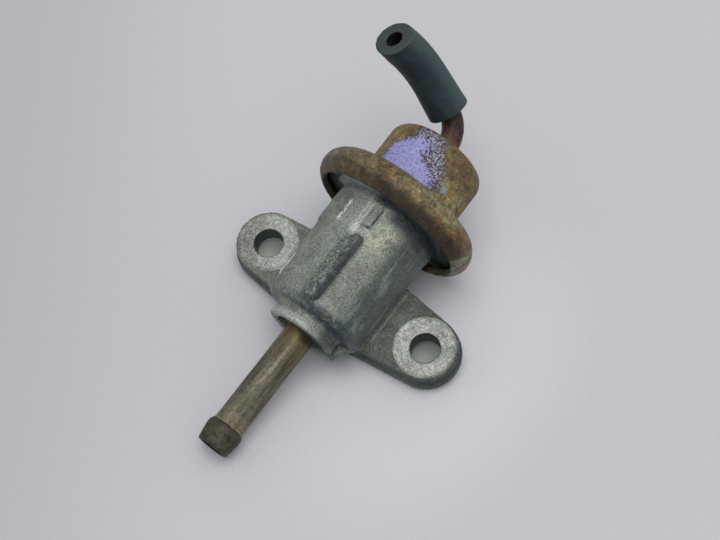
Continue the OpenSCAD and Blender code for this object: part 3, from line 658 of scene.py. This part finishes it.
def plated_pipe():
    """Worn olive plating on the return pipe, yellower at its root and browner on the bead."""
    tree = Tree("plated_pipe")
    lengthwise = tree.noise(per_mm=0.9, detail=5.0, rough=0.65, stretch=(1.0, 0.12, 1.0))
    mottle = tree.noise(per_mm=0.9, detail=6.0, rough=0.68, warp=0.3)
    fine = tree.noise(per_mm=3.0, detail=4.0, rough=0.72)
    specks = tree.noise(per_mm=4.5, detail=4.0, rough=0.75, shift=3.0)
    colour = tree.mix(tree.ramp(lengthwise, 0.34, 0.68), PLATING_DARK, PLATING_PALE)
    colour = tree.stain(colour, tree.ramp(mottle, 0.50, 0.66), 0.6, PLATING_SPOT)
    colour = tree.stain(colour, tree.ramp(tree.along, -21.0, -13.5), 0.55, ROOT_YELLOW)
    bead = tree.ramp(tree.along, -36.5, -36.0, 1.0, 0.0)
    bead_tone = tree.mix(tree.ramp(mottle, 0.38, 0.62), BEAD_DARK, BEAD_PALE)
    colour = tree.stain(colour, bead, 0.9, bead_tone)
    # Pale specks on the neck, and a pale line where the bead begins
    neck = tree.both(tree.band(tree.along, -36.0, -33.4, 0.8), tree.ramp(specks, 0.48, 0.66))
    colour = tree.stain(colour, neck, 0.65, NECK_SPECKS)
    line = tree.both(tree.band(tree.along, -36.25, -36.05, 0.10), tree.ramp(mottle, 0.30, 0.50))
    colour = tree.stain(colour, line, 0.75, NECK_LINE)
    # Painted shadow where it enters the boss, further out on one side, and painted shade in its bore
    shaded = tree.plus(tree.along, tree.ramp(tree.x, 0.5, -2.2, 0.0, 1.6))
    colour = tree.stain(colour, tree.ramp(shaded, -14.0, -12.6), 0.85, ROOT_SHADOW)
    colour = tree.mix(tree.ramp(tree.radius, 2.5, 2.9, 1.0, 0.0), colour, PIPE_BORE)
    colour = tree.shade(colour, tree.vary(fine, 0.70, 1.30))
    rough = tree.blend_number(bead, tree.vary(lengthwise, 0.58, 0.44), 0.58)
    normal = tree.bump(tree.plus(lengthwise, tree.times(fine, 0.6)), distance_mm=0.06, strength=0.5)
    normal = tree.bump(mottle, distance_mm=0.12, strength=0.4, before=normal)
    return tree.finish(colour, rough, metallic=0.5, normal=normal)


# Materials of the hose and of the pieces inside

HOSE_DARK = (0.0060, 0.0160, 0.0220)
HOSE_PALE = (0.0095, 0.0250, 0.0315)
HOSE_DUST_AND_LIGHT = (0.037, 0.065, 0.069)
HOSE_CUT_FACE = (0.035, 0.050, 0.053)
HOSE_CUT_RIM = (0.095, 0.120, 0.120)
HOSE_BORE = (0.004, 0.005, 0.010)
SEAL_DARK = (0.010, 0.010, 0.010)
SEAL_PALE = (0.022, 0.022, 0.022)
BRASS_DARK = (0.40, 0.29, 0.11)
BRASS_PALE = (0.55, 0.42, 0.18)
STEEL_DARK = (0.32, 0.32, 0.31)
STEEL_PALE = (0.46, 0.46, 0.45)
SPRING_DARK = (0.07, 0.07, 0.075)
SPRING_PALE = (0.12, 0.12, 0.13)


def hose_rubber():
    """Matte aged rubber, blue-green, dusty and painted lighter on the side that faces up to the light, with
    a paler cut face.
    """
    tree = Tree("hose_rubber")
    broad = tree.noise(per_mm=0.25, detail=4.0, rough=0.6)
    fine = tree.noise(per_mm=2.4, detail=4.0, rough=0.7)
    scuff = tree.noise(per_mm=0.6, detail=5.0, rough=0.7, shift=8.0)
    colour = tree.mix(tree.ramp(broad, 0.35, 0.65), HOSE_DARK, HOSE_PALE)
    # Dust and painted light on the side that faces up to the light
    upward = tree.dot(tree.facing, HOSE_LIT_DUSTY_SIDE)
    dust_and_light = tree.both(tree.ramp(upward, 0.42, 1.0), tree.ramp(scuff, 0.20, 0.50, 0.6, 1.0))
    colour = tree.mix(dust_and_light, colour, HOSE_DUST_AND_LIGHT)
    # The cut face with its paler rim
    depth = tree.dot(tree.vector("SUBTRACT", tree.place, HOSE_CUT_AT), HOSE_CUT_OUT)
    colour = tree.stain(colour, tree.ramp(depth, -0.20, -0.06), 0.9, HOSE_CUT_FACE)
    rim = tree.both(tree.band(depth, -0.32, -0.08, 0.10), tree.ramp(tree.edges(), 0.52, 0.58))
    colour = tree.stain(colour, rim, 0.6, HOSE_CUT_RIM)
    # Painted shade in the bore, by the squared distance from its axis
    from_end = tree.vector("SUBTRACT", tree.place, HOSE_END)
    in_line = tree.dot(from_end, HOSE_AXIS)
    off_axis = tree.minus(tree.dot(from_end, from_end), tree.math("POWER", in_line, 2.0))
    bore = tree.both(tree.ramp(off_axis, 3.9, 3.3), tree.ramp(depth, -0.25, -0.5),
                     tree.ramp(in_line, -4.0, -3.0))
    colour = tree.mix(bore, colour, HOSE_BORE)
    colour = tree.shade(colour, tree.vary(fine, 0.72, 1.30))
    normal = tree.bump(tree.plus(fine, tree.times(scuff, 0.6)), distance_mm=0.06, strength=0.5)
    return tree.finish(colour, tree.vary(broad, 0.66, 0.54), metallic=0.0, normal=normal)


def seal_rubber():
    """Black rubber of the seal and the diaphragm."""
    tree = Tree("seal_rubber")
    fine = tree.noise(per_mm=3.0, detail=4.0, rough=0.65)
    colour = tree.mix(tree.vary(fine), SEAL_DARK, SEAL_PALE)
    normal = tree.bump(fine, distance_mm=0.04, strength=0.5)
    return tree.finish(colour, tree.vary(fine, 0.6, 0.45), metallic=0.0, normal=normal)


def plain_metal(name, dark, pale, roughness):
    """Turned or pressed metal inside the part, with faint tool marks."""
    tree = Tree(name)
    marks = tree.noise(per_mm=2.2, detail=3.0, rough=0.6, stretch=(1.0, 0.2, 1.0))
    colour = tree.mix(tree.vary(marks), dark, pale)
    normal = tree.bump(marks, distance_mm=0.03, strength=0.4)
    return tree.finish(colour, tree.vary(marks, roughness + 0.1, roughness), metallic=0.9, normal=normal)


SLOT_MATERIALS = {
    "cast_aluminium": cast_aluminium(),
    "rusted_zinc": rusted_zinc(),
    "rusted_pipe": rusted_pipe(),
    "plated_pipe": plated_pipe(),
    "hose_rubber": hose_rubber(),
    "seal_rubber": seal_rubber(),
    "seat_brass": plain_metal("seat_brass", BRASS_DARK, BRASS_PALE, roughness=0.30),
    "bright_steel": plain_metal("bright_steel", STEEL_DARK, STEEL_PALE, roughness=0.30),
    "spring_steel": plain_metal("spring_steel", SPRING_DARK, SPRING_PALE, roughness=0.38),
}


# Fine form of the real surfaces

SOFTEN_FACTOR = 0.5
SEED_STEPS = (17.3, -9.1, 5.7)
FRACTAL_FALL = 1.0
FRACTAL_STEP = 2.0

# Sizes in millimetres, where a pair says from where to where a form eases out
HOLE_WALL_REACH = 0.22
SPOT_FACE_EDGE = 0.3
FACE_HEIGHTS = (0.1, 0.4)
CHAMBER_RADII = (9.0, 9.5)
BREAK_X = 0.7
BREAK_Y = 1.5
BREAK_DEPTH = 0.06
BREAK_RADII = (11.4, 11.9)
BREAK_HALF_WIDTHS = (0.8, 1.3)
BREAK_HALF_LENGTHS = (6.4, 7.4)


def remeshed(node, voxel_mm, smooth_rounds):
    """A dense even mesh of a CAD node, with its edges just softened."""
    source = NODES[node]
    piece = bpy.data.objects.new(node + "_surface", source.data.copy())
    bpy.context.scene.collection.objects.link(piece)
    remesh = piece.modifiers.new("remesh", "REMESH")
    remesh.mode = "VOXEL"
    remesh.voxel_size = voxel_mm * MM
    soften = piece.modifiers.new("soften", "SMOOTH")
    soften.factor = SOFTEN_FACTOR
    soften.iterations = smooth_rounds
    bpy.context.view_layer.update()
    ready = piece.evaluated_get(bpy.context.evaluated_depsgraph_get())
    mesh = bpy.data.meshes.new_from_object(ready)
    piece.modifiers.clear()
    piece.data = mesh
    return piece


def push_out(piece, relief):
    """Moves each vertex along its normal by what relief gives for its place."""
    mesh = piece.data
    count = len(mesh.vertices)
    points = np.empty(count * 3)
    normals = np.empty(count * 3)
    mesh.vertices.foreach_get("co", points)
    mesh.vertices.foreach_get("normal", normals)
    points = points.reshape(-1, 3) / MM
    normals = normals.reshape(-1, 3)
    points += normals * relief(points)[:, None]
    mesh.vertices.foreach_set("co", (points * MM).ravel())
    mesh.update()


def true_holes(piece):
    """Puts the bolt holes' walls back on their radius, which an even mesh leaves uneven."""
    mesh = piece.data
    points = np.empty(len(mesh.vertices) * 3)
    mesh.vertices.foreach_get("co", points)
    points = points.reshape(-1, 3)
    for centre in (-BOLT_X * MM, BOLT_X * MM):
        out = points[:, :2] - (centre, 0.0)
        distance = np.hypot(out[:, 0], out[:, 1])
        wall = np.abs(distance - BOLT_R * MM) < HOLE_WALL_REACH * MM
        points[wall, :2] = (centre, 0.0) + out[wall] * (BOLT_R * MM / distance[wall])[:, None]
    mesh.vertices.foreach_set("co", points.ravel())
    mesh.update()


def ease(value, low, high):
    """0 below low, 1 above high, smooth between."""
    share = np.clip((value - low) / (high - low), 0.0, 1.0)
    return share * share * (3 - 2 * share)


def fade(value, low, high):
    """1 below low, 0 above high, smooth between."""
    return 1 - ease(value, low, high)


def uneven(points, height, per_mm, seed, octaves=3):
    """Fractal noise about 0 of some height, with about so many blobs to a millimetre."""
    shift = Vector([seed * step for step in SEED_STEPS])
    places = (Vector(point) * per_mm + shift for point in points)
    shares = [noise.fractal(place, FRACTAL_FALL, FRACTAL_STEP, octaves) for place in places]
    return height * np.array(shares)


def casting_relief(points):
    """Cast skin: broad unevenness, fine pits and a broken rib, with machined faces left flat."""
    x, y, z = points.T
    ring = np.hypot(np.abs(x) - BOLT_X, y)
    radius = np.hypot(x, z - AXIS_Z)
    spot_face = fade(ring, SPOT_FACE_R, SPOT_FACE_R + SPOT_FACE_EDGE)
    machined = np.maximum(spot_face, fade(z, *FACE_HEIGHTS))
    inner = fade(radius, *CHAMBER_RADII)
    skin = uneven(points, height=0.06, per_mm=0.35, seed=1)
    skin += uneven(points, height=0.03, per_mm=1.3, seed=2)
    rib = ease(radius, *BREAK_RADII) * fade(np.abs(x - BREAK_X), *BREAK_HALF_WIDTHS)
    rib *= fade(np.abs(y - BREAK_Y), *BREAK_HALF_LENGTHS)
    broken = uneven(points, height=0.16, per_mm=0.8, seed=3, octaves=4) - BREAK_DEPTH
    return (skin + rib * broken) * (1 - np.maximum(machined, inner))


def cover_relief(points):
    """Pressed sheet that is a little uneven, with shallow rust scabs."""
    waves = uneven(points, height=0.06, per_mm=0.16, seed=5)
    return waves + uneven(points, height=0.03, per_mm=0.9, seed=6, octaves=4)


def plated_relief(points):
    """Drawn tube, nearly smooth."""
    scratches = uneven(points, height=0.012, per_mm=0.8, seed=7)
    return scratches + uneven(points, height=0.02, per_mm=0.25, seed=8)


def rust_relief(points):
    """Rust scabs on a thin pipe."""
    return uneven(points, height=0.03, per_mm=1.0, seed=9, octaves=4)


def hose_relief(points):
    """Rubber with slight dents."""
    dents = uneven(points, height=0.035, per_mm=0.22, seed=10)
    return dents + uneven(points, height=0.012, per_mm=1.2, seed=11)


# Pieces that stand for CAD nodes


def dress(node, relief, voxel_mm, smooth_rounds):
    """Replaces a node on the root body by its finely shaped surface."""
    slot = SLOT_OF[node]
    piece = remeshed(node, voxel_mm, smooth_rounds)
    push_out(piece, relief)
    piece.data.materials.clear()
    piece.data.materials.append(SLOT_MATERIALS[slot])
    piece.data.shade_smooth()
    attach(piece, ROOT)
    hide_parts(node)
    return piece


def flatten(node):
    """Shows a node by a copy of its mesh held by the root body, in place of the node itself."""
    piece = bpy.data.objects.new(node + "_soft", NODES[node].data.copy())
    bpy.context.scene.collection.objects.link(piece)
    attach(piece, ROOT)
    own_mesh(piece)
    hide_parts(node)


# Every node takes its slot's material, those inside the part too
for node, slot in SLOT_OF.items():
    NODES[node].data.materials.clear()
    NODES[node].data.materials.append(SLOT_MATERIALS[slot])

casting = dress("body_casting", casting_relief, voxel_mm=0.30, smooth_rounds=1)
true_holes(casting)
dress("cover", cover_relief, voxel_mm=0.30, smooth_rounds=4)
dress("return_pipe", plated_relief, voxel_mm=0.21, smooth_rounds=3)
dress("vacuum_pipe", rust_relief, voxel_mm=0.15, smooth_rounds=3)
dress("vacuum_hose", hose_relief, voxel_mm=0.20, smooth_rounds=3)

for node, moving_y in MOVING_END_Y.items():
    flatten(node)


# Stage: floor, light and camera. Places on the floor are in millimetres of its own frame

FLOOR_SIZE = 20.0
FLOOR_LEFT = (0.478, 0.474, 0.510)
FLOOR_PALE = (0.572, 0.566, 0.606)
FLOOR_LEFT_FADE = (-82, -18)
FLOOR_UNDER_EARS = (0.390, 0.428, 0.400)
UNDER_EAR_REACH = 5.2
UNDER_EAR_SOFT = 2.5
FLOOR_POOL_AT = (-22.0, 0.0, 0.0)
FLOOR_POOL_SHAPE = (1.6, 1.0, 0.0)
FLOOR_POOL_FADE = (52, 20)
FLOOR_POOL_GAIN = 1.12
WORLD_COLOUR = (0.955, 0.985, 0.970)
WORLD_LIGHT = 0.50
KEY_COLOUR = (1.0, 0.985, 0.99)
KEY_LIGHT = 1.5
KEY_SPREAD = math.radians(42)
KEY_TO_CAMERA = 0.4
KEY_TO_LEFT = 0.03
KEY_FROM = FLOOR_UP - KEY_TO_CAMERA * CAMERA_FORWARD - KEY_TO_LEFT * CAMERA_RIGHT


def turned_to(direction):
    """The turn that takes the Z axis to a direction."""
    return Vector((0, 0, 1)).rotation_difference(direction.normalized()).to_matrix().to_4x4()


def lowest_along(direction):
    """The part's lowest place along a direction, in metres."""
    reach = []
    for node in NODES.values():
        points = np.array([vertex.co for vertex in node.data.vertices])
        reach.append((points @ np.array(direction)).min())
    return min(reach)


def floor_material():
    """Pale paper, with painted shade towards the picture's left and under the ears, and a pool of painted
    light round the part.
    """
    tree = Tree("floor_paper")
    fibre = tree.noise(per_mm=1.2, detail=4.0, rough=0.6)
    # Painted shade towards the picture's left
    from_left = tree.ramp(tree.dot(tree.place, CAMERA_RIGHT), *FLOOR_LEFT_FADE)
    colour = tree.mix(from_left, FLOOR_LEFT, FLOOR_PALE)
    # A pool of painted light round the part
    from_pool = tree.vector("SUBTRACT", tree.place, FLOOR_POOL_AT)
    from_pool = tree.vector("MULTIPLY", from_pool, FLOOR_POOL_SHAPE)
    distance = tree.math("SQRT", tree.dot(from_pool, from_pool))
    colour = tree.shade(colour, tree.ramp(distance, *FLOOR_POOL_FADE, 1.0, FLOOR_POOL_GAIN))
    # Painted shadow under the ears
    for bolt_x in (-BOLT_X, BOLT_X):
        under_ear = tree.near((bolt_x, 0.0, 0.0), UNDER_EAR_REACH, UNDER_EAR_SOFT)
        colour = tree.mix(under_ear, colour, FLOOR_UNDER_EARS)
    colour = tree.shade(colour, tree.vary(fibre, 0.98, 1.02))
    normal = tree.bump(fibre, distance_mm=0.05, strength=0.3)
    return tree.finish(colour, roughness=0.8, metallic=0.0, normal=normal)


def make_floor():
    bpy.ops.mesh.primitive_plane_add(size=FLOOR_SIZE)
    floor = bpy.context.object
    floor.name = "floor"
    floor.matrix_world = Matrix.Translation(FLOOR_UP * lowest_along(FLOOR_UP)) @ turned_to(FLOOR_UP)
    floor.data.materials.append(floor_material())


def make_key_light():
    """A broad soft light from above the floor and from the camera's side."""
    lamp = bpy.data.lights.new("key", "SUN")
    lamp.energy = KEY_LIGHT
    lamp.angle = KEY_SPREAD
    lamp.color = KEY_COLOUR
    sun = bpy.data.objects.new("key", lamp)
    sun.matrix_world = turned_to(KEY_FROM)
    bpy.context.scene.collection.objects.link(sun)


def make_world():
    world = bpy.data.worlds.new("studio")
    world.use_nodes = True
    background = world.node_tree.nodes["Background"]
    background.inputs["Color"].default_value = (*WORLD_COLOUR, 1.0)
    background.inputs["Strength"].default_value = WORLD_LIGHT
    bpy.context.scene.world = world


def make_camera():
    camera = bpy.data.cameras.new("camera")
    camera.lens = CAMERA_LENS
    camera.clip_start = CAMERA_NEAR
    camera.clip_end = CAMERA_FAR
    holder = bpy.data.objects.new("camera", camera)
    columns = Matrix((CAMERA_RIGHT, -CAMERA_DOWN, -CAMERA_FORWARD)).transposed()
    holder.matrix_world = Matrix.Translation(CAMERA_AT * MM) @ columns.to_4x4()
    bpy.context.scene.collection.objects.link(holder)
    bpy.context.scene.camera = holder


make_floor()
make_world()
make_key_light()
make_camera()
bpy.context.scene.view_settings.view_transform = "Standard"
